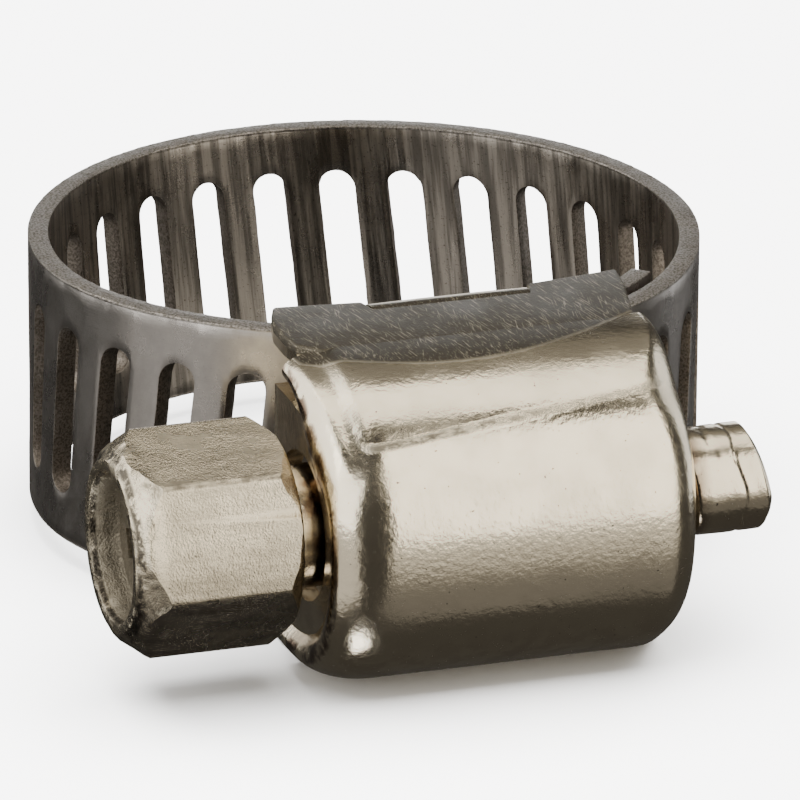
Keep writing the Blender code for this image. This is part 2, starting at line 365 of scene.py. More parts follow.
def linked(shader, tone, gloss, heights):
    """Links colour, roughness and bumps one over another: each a height, a strength and a depth in metres."""
    tree = shader.id_data
    normal = None
    for height, strength, depth in heights:
        values = {"Height": height, "Strength": strength, "Distance": depth}
        if normal is not None:
            values["Normal"] = normal
        normal = add_node(tree, "ShaderNodeBump", values).outputs["Normal"]
    for name, value in (("Base Color", tone.socket), ("Roughness", gloss.socket), ("Normal", normal)):
        tree.links.new(value, shader.inputs[name])


# --- the finishes ---


def worn_nickel(name, base, finishes, roughness, marks):
    """Bright plate with orange peel, pits, rubbed marks, brown film and painted shade. marks gives the
    piece's own masks.
    """
    made, shader = new_metal(name)
    at = coordinates(made.node_tree)
    peel = grain(at, 5200.0, 2.0)
    fine = grain(at, 16000.0, 3.0, 0.6)
    lump = grain(at, 1500.0, 2.0)
    cloud = grain(at, 700.0, 4.0, 0.6)
    pit = grain(at, 9500.0, 1.0).ramp(0.735, 0.79)
    rubs = scratches(at, (0.0, 25.0, -38.0), 26000.0, 0.275)
    rubs = rubs.most(scratches(at, (20.0, 0.0, 62.0), 21000.0, 0.255, 3.7))
    masks = marks(at)
    tone = blended(cloud.ramp(0.35, 0.7), base, scaled(base, 0.90))
    # Brown film, and on the housing a brown tint painted as shade towards the bottom.
    tone = blended(masks["film"] * 0.85, tone, finishes.tarnish_and_painted_shade)
    # Painted shade: near black on the housing's top face and inner side and in the screw's dished end.
    tone = blended(masks["painted_shade_and_dull"] * 0.96, tone, scaled(base, 0.075))
    # Painted shade, with some real wear on the screw's flats.
    tone = blended(masks["shade"], tone, scaled(base, 0.12))
    tone = blended((pit * 0.8).most(masks["grime"]), tone, finishes.grime)
    tone = blended(masks["scratch"] * 0.42, tone, scaled(base, 1.06))
    gloss = cloud.ramp(0.3, 0.75, 0.0, 0.11) + (roughness - 0.05)
    gloss = gloss + masks["painted_shade_and_dull"] * 0.20 + rubs * 0.12
    gloss = gloss.maths("ADD", gloss, masks["grain"] * 0.10, clamp=True)
    heights = (
        (peel, 0.30, 0.000030),
        (lump * masks["lumps"], 0.8, 0.000110),
        (fine, 0.22, 0.000010),
        (fine * masks["grain"], 0.9, 0.000045),
        (pit + rubs, -0.30, 0.000012),
        (masks["scratch"], -0.5, 0.000014),
    )
    linked(shader, tone, gloss, heights)
    return made


def housing_marks(at):
    """Painted shade over the scratched top face, along the stretched crease at the dome's shoulder, on the
    inner side and as a brown tint towards the bottom, and the stained corners.
    """
    x, y, z = separated(at)
    across = (x + 1.2 * MM) * (1.0 / MM)
    front = y - across * across * (0.065 * MM)
    fold = x.near(-0.1, 2.3, 0.2) * y.span(-8.14, -7.98)
    # The top face: painted shade over it, and real scratches on it.
    top_face_shade_and_scuffs = abs(z).span(4.40, 4.46) * front.span(-12.95, -12.65) * (1.0 - fold)
    steep = scratches(at, (0.0, 0.0, 80.0), 34000.0, 0.39)
    other = scratches(at, (0.0, 0.0, 101.0), 26000.0, 0.38, 5.1)
    wear = grain(at, 900.0).ramp(0.40, 0.62)
    # Painted shade: a dark mottled line along the crease at the dome's shoulder.
    crease = (z - x * 0.082).near(3.58, 0.02, 0.13)
    crease = crease * x.span(-5.1, -4.7) * y.span(-14.0, -14.5)
    crease = crease * x.span(1.5, -2.5, 0.30, 1.0)
    mottle = grain(placed(at, (0.5, 1.0, 1.0)), 4200.0, 3.0, 0.65).ramp(0.38, 0.60)
    lip_edge = x.span(-5.86, -5.96)
    patch = grain(at, 1500.0).ramp(0.42, 0.60)
    # Painted shade: a brown tint towards the bottom of the housing.
    low = z.span(-1.6, -4.4)
    # Painted shade towards the inner side, by the ring.
    inner = y.span(-10.4, -9.6)
    return {
        "film": (lip_edge * patch).most(low * patch * 0.22),
        "painted_shade_and_dull": top_face_shade_and_scuffs.most(inner * 0.5),
        "shade": crease * mottle * 0.80,
        "lumps": x.span(-4.6, -5.2, 0.0, 0.16),
        "grime": lip_edge * patch * 0.4,
        "scratch": top_face_shade_and_scuffs * steep.most(other * wear),
        "grain": crease.most(top_face_shade_and_scuffs * 0.5),
    }


def screw_marks(at):
    """Drawn lines along the flats, a rough end, brown film at the neck and where the thread runs out, and
    painted shade in the dished end, towards the bottom of the hexagon and along two of its edges.
    """
    x, y, z = separated(at)
    drawn = scratches(at, (0.0, 0.0, 0.0), 15000.0, 0.40)
    on_head = x.span(-6.4, -6.7)
    worn = grain(placed(at, (0.25, 1.0, 1.0)), 1900.0, 3.0, 0.6).ramp(0.42, 0.62)
    # Painted shade: the hexagon's flats darker towards the bottom.
    painted_shade_below = z.span(2.0, -0.8, 0.02, 0.52)
    patch = grain(at, 1300.0).ramp(0.38, 0.58)
    # Painted shade: dark lines along two edges of the hexagon.
    corners = z.near(2.40, 0.03, 0.07).most(z.near(-0.67, 0.03, 0.08))
    corners = corners * y.span(-13.9, -14.1) * patch * 0.75
    stain = grain(at, 1500.0, 4.0, 0.65).ramp(0.40, 0.52)
    rim = x.near(-11.36, 0.04, 0.09) * stain * 0.9
    bare_core = x.span(-6.45, -6.0) * x.span(5.9, 5.2)
    from_axis = placed(at, (0.0, 1.0, 1.0), move=(0.0, -SCREW_AXIS * MM, 0.0))
    from_axis = add_node(at.tree, "ShaderNodeVectorMath", {0: from_axis}, operation="LENGTH").outputs["Value"]
    # Painted shade in the dished end inside the rim.
    dish = x.span(-11.42, -11.2) * Field(from_axis).span(2.2, 2.0)
    dish = dish * x.span(-10.2, -10.3)
    return {
        "film": bare_core * (patch * 0.6 + 0.4),
        "painted_shade_and_dull": dish * 0.7,
        "shade": on_head * (drawn * 0.16 + worn * 0.16 + painted_shade_below).most(corners),
        "lumps": x.span(-10.6, -11.1) + on_head * 0.22,
        "grime": (bare_core * 0.35).most(rim),
        "scratch": on_head * drawn * 0.30,
        "grain": dish.most(on_head * 0.45),
    }


def rolled_steel(name, finishes):
    """Strip: satin outside, stained and streaked inside, with dark grainy sheared edges."""
    made, shader = new_metal(name)
    strip = add_node(made.node_tree, "ShaderNodeAttribute", attribute_name="strip").outputs["Vector"]
    strip = Field(strip)
    _, out, up = separated(strip)
    inside = out.ramp(0.10, -0.10)
    rim = abs(up).ramp(3.90, 3.97)
    cut = abs(out).ramp(0.299, 0.285) * (1.0 - rim)
    scales = ((1.2, 1.0, 42.0), (4.5, 1.0, 0.22), (14.0, 14.0, 14.0))
    rolled, ribs, speckle = (grain(placed(strip, scale), 1.0, 3.0, 0.6) for scale in scales)
    cloud = grain(placed(strip, (0.9, 1.0, 0.6)), 1.0, 4.0, 0.65)
    tone = blended(cloud.ramp(0.35, 0.65), finishes.steel, scaled(finishes.steel, 0.8))
    streaked = blended(ribs.ramp(0.38, 0.62), finishes.steel_inside, scaled(finishes.steel_inside, 0.45))
    tone = blended(inside, tone, streaked)
    tone = blended(speckle.ramp(0.60, 0.70) * (inside * 0.5 + 0.15), tone, finishes.grime)
    torn = speckle.ramp(0.40, 0.62)
    tone = blended(rim, tone, blended(torn, (0.38, 0.35, 0.315), (0.15, 0.135, 0.115)))
    tone = blended(cut, tone, blended(torn, (0.28, 0.245, 0.21), (0.15, 0.13, 0.105)))
    gloss = cloud.ramp(0.3, 0.7, 0.24, 0.36) + rim * 0.16 + cut * 0.20
    heights = (
        (rolled, 0.30, 0.000010),
        (ribs * inside, 0.6, 0.000030),
        (speckle, 0.20, 0.000012),
        (speckle * rim.most(cut), 0.55, 0.000035),
    )
    linked(shader, tone, gloss, heights)
    return made


# --- the band ---


class BandPath:
    """Where the strip's mid-line runs."""

    STUB, TIP = -48.5, 380.0
    RISE_TO_RING, RISE_TO_DRIVEN = (28.0, 88.0), (286.0, 326.0)
    BACK_SLOT_ANGLE = 182.0
    SLANT = math.radians(6.3)

    def __init__(self, sizes):
        self.sizes = sizes
        self.angles = np.arange(-60.0, 400.0, 0.05)
        steps = np.diff(self.points(self.angles, 0.0, 0.0), axis=0)
        self.lengths = np.concatenate([[0.0], np.cumsum(np.linalg.norm(steps, axis=1))])

    def points(self, angle, out, up):
        """Points at these angles, this far outside the mid-line and this high."""
        sizes = self.sizes
        to_ring, to_driven = (
            eased((angle - start) / (end - start)) for start, end in (self.RISE_TO_RING, self.RISE_TO_DRIVEN)
        )
        radius = sizes.fixed_radius + (sizes.ring_radius - sizes.fixed_radius) * to_ring
        radius = radius + (sizes.driven_radius - sizes.ring_radius) * to_driven - sizes.thickness / 2 + out
        turn = np.radians(angle)
        up = np.broadcast_to(up, turn.shape)
        return np.stack([-radius * np.sin(turn), -radius * np.cos(turn), up], axis=-1)

    def length_at(self, angle):
        return float(np.interp(angle, self.angles, self.lengths))

    def slot(self, number):
        """How far along the strip this slot's centre is."""
        return self.length_at(self.BACK_SLOT_ANGLE) + number * self.sizes.slot_pitch

    def wrapped(self, flat, start, end):
        """Points of the flat strip (along, out, up), leaned as the slots are, square at its ends, bent."""
        along, out, up = flat.T
        square = 2.0 * MM
        lean = math.tan(self.SLANT) * eased((along - start) / square) * eased((end - along) / square)
        angle = np.interp(along - up * lean, self.lengths, self.angles)
        return self.points(angle, out, up)

    def mid_point(self, place):
        return self.points(np.array([np.interp(place, self.lengths, self.angles)]), 0.0, 0.0)[0]


def faced_back(bm):
    """Merges points that meet, and turns every face of a flat sheet towards +Y."""
    bmesh.ops.remove_doubles(bm, verts=bm.verts, dist=1e-7)
    for face in bm.faces:
        face.normal_update()
        if face.normal.y < 0.0:
            face.normal_flip()


def slot_cell(sizes):
    """The flat strip from one slot's centre line to the next, on the strip's inner face."""
    arc, web, bar, rows = 7, 5, 4, 8
    radius = sizes.slot_width / 2
    straight = (sizes.slot_length - sizes.slot_width) / 2
    half_width = sizes.width / 2
    span = sizes.slot_pitch - 2 * radius
    back = -sizes.thickness / 2
    turns = [math.pi / 2 * step / arc for step in range(arc + 1)]
    shoulder = [(radius * math.sin(turn), straight + radius * math.cos(turn)) for turn in turns]

    def column(x, start, side):
        """Points from the slot's end out to the strip's edge."""
        return [(x, back, side * (start + (half_width - start) * k / bar)) for k in range(bar + 1)]

    bm = bmesh.new()
    for side in (-1, 1):
        low = [column(x, start, side) for x, start in shoulder]
        high = [[(sizes.slot_pitch - x, y, z) for x, y, z in points] for points in reversed(low)]
        middle = [column(radius + span * step / web, straight, side) for step in range(1, web)]
        grid_surface(bm, low + middle + high)
    heights = [straight * (2 * row / rows - 1) for row in range(rows + 1)]
    grid_surface(bm, [[(radius + span * step / web, back, z) for z in heights] for step in range(web + 1)])
    faced_back(bm)
    return mesh_object("slot_cell", bm)


def plain_cell(sizes, start, end, open_at):
    """Unslotted strip from start to end. At open_at it meets a slot's centre line and ends in half a slot."""
    cell = slot_cell(sizes)
    half = sizes.slot_pitch / 2
    bm = bmesh.new()
    bm.from_mesh(cell.data)
    bpy.data.objects.remove(cell)
    everything = bm.verts[:] + bm.edges[:] + bm.faces[:]
    bmesh.ops.bisect_plane(bm, geom=everything, plane_co=(half, 0, 0), plane_no=(1, 0, 0), clear_outer=True)
    if open_at == "end":
        for vert in bm.verts:
            vert.co.x = -vert.co.x
    slot, far, inward = (start, end, half) if open_at == "start" else (end, start, -half)
    bmesh.ops.translate(bm, verts=bm.verts, vec=(slot, 0, 0))
    edge_place = slot + inward
    heights = sorted({round(v.co.z, 9) for v in bm.verts if abs(v.co.x - edge_place) < 1e-7})
    count = max(2, round(abs(far - edge_place) / (0.35 * MM)))
    places = [edge_place + (far - edge_place) * step / count for step in range(count + 1)]
    grid_surface(bm, [[(x, -sizes.thickness / 2, z) for z in heights] for x in places])
    faced_back(bm)
    return mesh_object("plain_cell", bm)


def node_group(name, inputs):
    """A Geometry Nodes tree, the identifiers of its inputs by name, and the inputs themselves."""
    tree = bpy.data.node_groups.new(name, "GeometryNodeTree")
    sockets = {}
    for label, kind in inputs.items():
        made = tree.interface.new_socket(label, in_out="INPUT", socket_type="NodeSocket" + kind)
        sockets[label] = made.identifier
    tree.interface.new_socket("Geometry", in_out="OUTPUT", socket_type="NodeSocketGeometry")
    return tree, sockets, add_node(tree, "NodeGroupInput").outputs


def output(tree, kind, values, **settings):
    return add_node(tree, kind, values, **settings).outputs[0]


def merged(tree, first, second):
    """Two geometries joined, with points that meet made one."""
    both = add_node(tree, "GeometryNodeJoinGeometry")
    tree.links.new(first, both.inputs[0])
    tree.links.new(second, both.inputs[0])
    return output(tree, "GeometryNodeMergeByDistance", {"Geometry": both.outputs[0], "Distance": 1e-6})


def end_group(tree, geometry, finish):
    """Realizes the tree's instances, sets the material and gives the result."""
    geometry = output(tree, "GeometryNodeRealizeInstances", {"Geometry": geometry})
    geometry = output(tree, "GeometryNodeSetMaterial", {"Geometry": geometry, "Material": finish})
    add_node(tree, "NodeGroupOutput", {"Geometry": geometry})


def slotted_strip_tree():
    """Geometry Nodes: cells laid along X and given the strip's thickness."""
    inputs = {"Geometry": "Geometry", "Cell": "Object", "Cells": "Int", "Start": "Float", "Pitch": "Float"}
    inputs |= {"Thickness": "Float", "Finish": "Material"}
    tree, sockets, given = node_group("slotted_strip", inputs)
    first = output(tree, "ShaderNodeCombineXYZ", {"X": given["Start"]})
    pitch = output(tree, "ShaderNodeCombineXYZ", {"X": given["Pitch"]})
    line = {"Count": given["Cells"], "Start Location": first, "Offset": pitch}
    places = output(tree, "GeometryNodeMeshLine", line, mode="OFFSET")
    cell = add_node(tree, "GeometryNodeObjectInfo", {"Object": given["Cell"]}).outputs["Geometry"]
    row = output(tree, "GeometryNodeInstanceOnPoints", {"Points": places, "Instance": cell})
    row = output(tree, "GeometryNodeRealizeInstances", {"Geometry": row})
    sheet = merged(tree, row, given["Geometry"])
    outward = output(tree, "ShaderNodeCombineXYZ", {"Y": given["Thickness"]})
    outer = output(tree, "GeometryNodeExtrudeMesh", {"Mesh": sheet, "Offset": outward, "Individual": False})
    inner = output(tree, "GeometryNodeFlipFaces", {"Mesh": sheet})
    end_group(tree, merged(tree, outer, inner), given["Finish"])
    return tree, sockets


def run_tree(obj, tree, sockets, values):
    """The object's mesh passed through a Geometry Nodes tree with these inputs."""
    step = obj.modifiers.new(tree.name, "NODES")
    step.node_group = tree
    for name, value in values.items():
        step[sockets[name]] = value
    baked(obj)


def round_edges(obj, low, high, width):
    """Rounds the strip's sheared edges, but not where one piece of the band runs on into the next."""
    bm = bmesh.new()
    bm.from_mesh(obj.data)
    sharp = []
    for edge in bm.edges:
        if len(edge.link_faces) != 2 or edge.calc_face_angle(0.0) < math.radians(50):
            continue
        middle = (edge.verts[0].co.x + edge.verts[1].co.x) / 2
        if low + 1e-6 < middle < high - 1e-6:
            sharp.append(edge)
    bevelled(bm, sharp, width, 2, clamp_overlap=True, material=-1)
    bm.to_mesh(obj.data)
    bm.free()


def ragged(flat, normals, low, high):
    """Sheared edges wander a little, and the strip's faces don't."""
    reach = 0.028 * MM
    side = 1.0 - np.abs(normals[:, 1])
    fade = eased((flat[:, 0] - low) / (0.2 * MM)) * eased((high - flat[:, 0]) / (0.2 * MM))
    push = np.array([noise.noise_vector(Vector(point) * 6500.0) for point in flat])
    return flat + push * (reach * side * fade)[:, None]


def read_points(mesh, name):
    """The vertices' places or normals, as rows of three."""
    values = np.empty(len(mesh.vertices) * 3)
    mesh.vertices.foreach_get(name, values)
    return values.reshape(-1, 3)


def band_piece(name, path, tree, finish, low, high, stub=None, tip=None):
    """A stretch of strip between two slots' centre lines, or out to an end of the strip."""
    sizes = path.sizes
    first, last = path.slot(low), path.slot(high)
    if stub is not None:
        strip = plain_cell(sizes, stub, first, "end")
    elif tip is not None:
        strip = plain_cell(sizes, last, tip, "start")
    else:
        strip = mesh_object(name, bmesh.new())
    strip.name = name
    cell = slot_cell(sizes)
    values = {
        "Cell": cell,
        "Cells": high - low,
        "Start": first,
        "Pitch": sizes.slot_pitch,
        "Thickness": sizes.thickness,
        "Finish": finish,
    }
    run_tree(strip, *tree, values)
    bpy.data.objects.remove(cell)
    low_end = -1.0 if stub is not None else first
    high_end = 1.0 if tip is not None else last
    round_edges(strip, low_end, high_end, sizes.edge_round)
    mesh = strip.data
    flat = ragged(read_points(mesh, "co"), read_points(mesh, "normal"), low_end, high_end)
    bent = path.wrapped(flat, path.length_at(path.STUB), path.length_at(path.TIP))
    marks = mesh.attributes.new("strip", "FLOAT_VECTOR", "POINT")
    marks.data.foreach_set("vector", (flat / MM).astype(np.float32).ravel())
    mesh.vertices.foreach_set("co", bent.astype(np.float32).ravel())
    mesh.update()
    shade(strip, 40.0)
    return strip


def build_band(sizes, finishes):
    noise.seed_set(EDGE_SEED)
    path = BandPath(sizes)
    tree = slotted_strip_tree()
    finish = rolled_steel("band_steel", finishes)
    hinge_slots = list(range(sizes.first_slot, 8, sizes.slots_per_hinge))
    for number, slot in enumerate(hinge_slots):
        ends = {}
        low, high = slot - 1, slot + 1
        if number == 0:
            low, ends["stub"] = slot, path.length_at(path.STUB)
        if number == len(hinge_slots) - 1:
            high, ends["tip"] = sizes.last_slot, path.length_at(path.TIP)
        name = f"band_stretch_{number + 1:02d}"
        piece = band_piece(name, path, tree, finish, low, high, **ends)
        start = path.mid_point(path.slot(slot - 1))
        end = path.mid_point(path.slot(slot + 1))
        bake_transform(piece)
        stands_for = {0: ["band_fixed_end", "band_link_01"], 9: ["band_free_end"]}
        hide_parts(*stands_for.get(number, [f"band_link_{number + 1:02d}"]))


# --- the housing ---

LIP_SPAN = 1.7 * MM


def dome_stations():
    """Places along the dome from the left edge to the right one, as (zone, share of that zone)."""
    left = [("left", -0.30 + 1.30 * step / 18) for step in range(19)]
    body = [("body", step / 40) for step in range(1, 40)]
    right = [("right", 1.0 - 1.24 * step / 14) for step in range(15)]
    return left + body + right


def right_round(turn):
    """The radius of the dome's right-hand edge: small beside the flat faces, large round the crown."""
    return (0.35 + 1.10 * float(eased(min(turn, math.pi - turn) / 0.7))) * MM


def lip_depth(turn):
    """How far the left end draws in before its edge: little at the top face, most at the shoulder."""
    shoulder = math.exp(-(((turn - 0.75) / 0.42) ** 2))
    bottom = float(eased((turn - 2.0) / 1.0))
    return (0.95 - 0.35 * float(eased(1.0 - turn / 0.5)) + 0.55 * shoulder - 0.20 * bottom) * MM


def station(sizes, zone, share, turn):
    """The place along X and the inset of the dome's outer face."""
    if zone == "body":
        start, end = sizes.left + LIP_SPAN, sizes.right - right_round(turn)
        return start + (end - start) * share, 0.0
    angle = math.pi / 2 * share
    if zone == "right":
        radius = right_round(turn)
        return sizes.right - radius * (1 - math.cos(angle)), radius * (1 - math.sin(angle))
    span = LIP_SPAN * (1 - math.cos(angle))
    return sizes.left + span, lip_depth(turn) * (1 - math.sin(angle))


def valley_depth(sizes, place, turn):
    """The groove behind the left lip: deepest over the shoulder, and gone by the crown."""
    across = math.exp(-(((place - sizes.left - 0.80 * MM) / (0.36 * MM)) ** 2))
    along = float(eased((1.15 - turn) / 0.45)) * float(eased((turn + 0.10) / 0.25))
    return 0.15 * MM * across * along


def section_point(sizes, inset, turn, groove=0.0):
    """A point of the dome's section in (Y, Z). turn runs from 0 at the top face to pi at the bottom one."""
    reach = sizes.dome_start - sizes.crown - inset
    half_height = sizes.half_height - inset
    power = 2.0 / sizes.dome_power
    out = abs(math.sin(turn)) ** power
    up = math.copysign(abs(math.cos(turn)) ** power, math.cos(turn))
    return (sizes.dome_start - (reach - groove) * out, (half_height - groove) * up)


def dome_shell(sizes):
    """The domed sheet, with a rolled lip at the left and a full round at the right."""
    stations = dome_stations()
    turns = [math.pi * step / 80 for step in range(81)]

    def outer(zone, share, turn):
        place, inset = station(sizes, zone, share, turn)
        return (place, *section_point(sizes, inset, turn, valley_depth(sizes, place, turn)))

    def inner(zone, share, turn):
        place, inset = station(sizes, zone, share, turn)
        place = min(max(place, sizes.left + sizes.sheet), sizes.right - sizes.sheet)
        return (place, *section_point(sizes, inset + sizes.sheet, turn))

    rows = [[outer(*place, turn) for turn in turns] for place in stations]
    rows += [[inner(*place, turn) for turn in turns] for place in reversed(stations)]
    bm = bmesh.new()
    verts = grid_surface(bm, rows, close_rows=True)
    half = len(stations)
    for side in (0, -1):
        for index in range(half - 1):
            a, b = verts[index][side], verts[index + 1][side]
            c, d = verts[2 * half - 2 - index][side], verts[2 * half - 1 - index][side]
            bm.faces.new((a, b, c, d))
    face_out(bm)
    return mesh_object("dome", bm)


def rounded_plate(name, outline, low, high, width):
    """A flat plate with this outline in plan and rounded edges."""
    bm = prism([[(x, y, z) for x, y in outline] for z in (low, high)])
    edges = [edge for edge in bm.edges if edge.calc_face_angle(0.0) > math.radians(30)]
    bevelled(bm, edges, width, 3, clamp_overlap=True)
    return mesh_object(name, bm)


def plate_outline():
    """The top face in plan, from the rear left corner round by the right."""
    rear = [(-5.15, -7.40), (-2.6, -7.72), (-2.45, -8.40), (2.2, -8.40), (2.35, -7.68), (5.22, -7.26)]
    side = [(5.02, -8.60), (4.60, -10.3), (4.35, -11.2)]
    left = [(-4.9, -11.2), (-5.50, -10.6), (-5.58, -9.7), (-5.56, -8.75), (-5.38, -8.0)]
    return [(x * MM, y * MM) for x, y in rear + side + left]


def strap(sizes):
    """The bridge inside the ring from the top face to the bottom one, with a full round at each fold."""
    fold, sheet, top = 0.95 * MM, 0.50 * MM, sizes.half_height + 0.003 * MM
    rows = []
    for step in range(15):
        x = (-2.5 + 4.75 * step / 14) * MM
        rear = sizes.strap_rear - 0.05 * MM * (x / (2.5 * MM)) ** 2
        outer = [(rear - 1.9 * MM, top - 0.3 * MM), (rear - 1.0 * MM, top)]
        inner = [(rear - 1.9 * MM, top - sheet), (rear - 1.0 * MM, top - sheet)]
        for turn in (math.radians(90 - 90 * k / 8) for k in range(9)):
            outer.append((rear - fold + fold * math.cos(turn), top - fold + fold * math.sin(turn)))
            small = fold - sheet
            inner.append((rear - fold + small * math.cos(turn), top - fold + small * math.sin(turn)))
        outer += [(y, -z) for y, z in reversed(outer)]
        inner += [(y, -z) for y, z in reversed(inner)]
        rows.append([(x, y, z) for y, z in outer + inner[::-1]])
    bm = bmesh.new()
    verts = grid_surface(bm, rows, close_columns=True)
    for row in (verts[0], verts[-1]):
        half = len(row) // 2
        for index in range(half - 1):
            bm.faces.new((row[index], row[index + 1], row[-2 - index], row[-1 - index]))
    face_out(bm)
    return mesh_object("strap", bm)


def end_wall(sizes, screw, low, high, rear, hole, inset):
    """A wall across one end of the dome, with a round hole for the screw."""
    outline = [section_point(sizes, inset, math.pi * step / 32) for step in range(33)]
    outline = [(rear, outline[0][1])] + outline + [(rear, outline[-1][1])]
    wall = mesh_object("wall", prism([[(x, y, z) for y, z in outline] for x in (low, high)]))
    span = [(low - MM, 0.0), (low - MM, hole), (high + MM, hole), (high + MM, 0.0)]
    boolean(wall, turned("hole", span, 64, screw.axis_y), "DIFFERENCE")
    return wall


def build_housing(sizes, screw, finishes):
    top, sheet = sizes.half_height, sizes.sheet
    outline = plate_outline()
    left_wall = (sizes.left + 0.12 * MM, sizes.left + 0.70 * MM)
    right_wall = (sizes.right - 0.75 * MM, sizes.right - 0.12 * MM)
    pieces = [
        dome_shell(sizes),
        rounded_plate("top", outline, top - sheet, top, 0.10 * MM),
        rounded_plate("bottom", outline, -top, sheet - top, 0.12 * MM),
        strap(sizes),
        end_wall(sizes, screw, *left_wall, rear=-9.9 * MM, hole=2.15 * MM, inset=1.35 * MM),
        end_wall(sizes, screw, *right_wall, rear=-8.9 * MM, hole=1.85 * MM, inset=1.2 * MM),
    ]
    housing = joined(pieces, "clamp_housing")
    shade(housing, 38.0)
    finish = worn_nickel("housing_nickel", finishes.nickel, finishes, 0.20, housing_marks)
    finished(housing, finish, "housing", "housing_nickel", "housing")


# --- the screw ---


def hexagon(sizes):
    """The six-sided bar that the head is cut from, with its corners a little worn."""
    corner = sizes.across_flats / 2 / math.cos(math.pi / 6)
    turns = [HEX_LEAN + math.radians(30 + 60 * side) for side in range(6)]
    places = (sizes.head_end - 0.5 * MM, sizes.head_back + 0.3 * MM)
    bm = prism([[round_axis(place, sizes.axis_y, corner, turn) for turn in turns] for place in places])
    along = [edge for edge in bm.edges if abs(edge.verts[0].co.x - edge.verts[1].co.x) > MM]
    bevelled(bm, along, 0.14 * MM, 4)
    return mesh_object("hexagon", bm)


def head(sizes):
    """Hexagon with an uneven cone at each end, and a dished face inside a thin rim."""
    end, back = sizes.head_end, sizes.head_back
    corner = sizes.across_flats / 2 / math.cos(math.pi / 6)
    rim, dish = sizes.rim_radius, sizes.dish_radius
    profile = [
        (end + 0.95 * MM, 0.0),
        (end + 0.95 * MM, 1.2 * MM),
        (end + 0.84 * MM, dish - 0.30 * MM),
        (end + 0.62 * MM, dish - 0.12 * MM),
        (end + 0.12 * MM, dish),
        (end + 0.03 * MM, dish + 0.05 * MM),
        (end, dish + 0.13 * MM),
        (end + 0.01 * MM, rim - 0.10 * MM),
        (end + 0.07 * MM, rim),
    ]
    cone = [(0.22 + 0.10 * step, rim + (0.20 + 0.076 * step) * MM) for step in range(8)]
    profile += [(end + along * MM, radius) for along, radius in cone]
    profile += [(back - (0.62 - 0.09 * step) * MM, corner + (0.02 - 0.073 * step) * MM) for step in range(7)]
    profile += [(back, corner - 0.55 * MM), (back, 0.0)]
    made = turned("head", profile, 160, sizes.axis_y)
    for vertex in made.data.vertices:
        off = vertex.co - Vector((vertex.co.x, sizes.axis_y, 0.0))
        if off.length > rim - 0.02 * MM:
            swell = noise.noise(vertex.co * 1300.0) * 0.09 + noise.noise(vertex.co * 3700.0) * 0.035
            vertex.co += off.normalized() * (swell - 0.02) * MM
    boolean(made, hexagon(sizes), "INTERSECT")
    bm = bmesh.new()
    bmesh.ops.create_cube(bm, size=1.0)
    bmesh.ops.scale(bm, vec=(3.6 * MM, 2.8 * MM, 0.85 * MM), verts=bm.verts)
    bmesh.ops.rotate(bm, matrix=Matrix.Rotation(math.radians(-20), 3, "X"), verts=bm.verts)
    bmesh.ops.translate(bm, vec=(end, sizes.axis_y, 0), verts=bm.verts)
    boolean(made, mesh_object("driver_slot", bm), "DIFFERENCE")
    return made


def thread_tree():
    """Geometry Nodes: a ridge swept along a helix that rises along Z."""
    inputs = {"Geometry": "Geometry", "Turns": "Float", "Radius": "Float", "Length": "Float"}
    inputs |= {"Ridge": "Object", "Finish": "Material"}
    tree, sockets, given = node_group("worm_thread", inputs)
    spiral = {"Resolution": 48, "Rotations": given["Turns"], "Height": given["Length"]}
    spiral |= {"Start Radius": given["Radius"], "End Radius": given["Radius"]}
    helix = output(tree, "GeometryNodeCurveSpiral", spiral)
    helix = output(tree, "GeometryNodeSetCurveNormal", {"Curve": helix}, mode="Z_UP")
    ridge = add_node(tree, "GeometryNodeObjectInfo", {"Object": given["Ridge"]}).outputs["Geometry"]
    ridge = output(tree, "GeometryNodeMeshToCurve", {"Mesh": ridge})
    sweep = {"Curve": helix, "Profile Curve": ridge, "Fill Caps": True}
    end_group(tree, output(tree, "GeometryNodeCurveToMesh", sweep), given["Finish"])
    return tree, sockets


def worm_thread(sizes, pitch, finish):
    """The ridge round the worm, laid along X."""
    turns = 3.7
    depth = sizes.worm_radius - sizes.root_radius + 0.2 * MM
    bm = bmesh.new()
    outline = [(-0.42, 0.0), (-0.21, 1.0), (0.21, 1.0), (0.42, 0.0)]
    points = [bm.verts.new((-(out - 0.5) * depth, across * MM, 0.0)) for across, out in outline]
    for index, point in enumerate(points):
        bm.edges.new((point, points[(index + 1) % 4]))
    ridge = mesh_object("ridge", bm)
    holder = mesh_object("worm_ridge", bmesh.new())
    tree, sockets = thread_tree()
    middle = sizes.worm_radius - depth / 2
    values = {"Turns": turns, "Radius": middle, "Length": turns * pitch, "Ridge": ridge, "Finish": finish}
    run_tree(holder, tree, sockets, values)
    bpy.data.objects.remove(ridge)
    lay_down = Matrix.Rotation(math.pi / 2, 4, "Y")
    first_turn = Matrix.Rotation(math.radians(144), 4, "X")
    move = Matrix.Translation((0.39 * MM - 2.1 * pitch, sizes.axis_y, 0.0))
    holder.data.transform(move @ first_turn @ lay_down)
    bm = bmesh.new()
    bm.from_mesh(holder.data)
    face_out(bm)
    bm.to_mesh(holder.data)
    bm.free()
    return holder


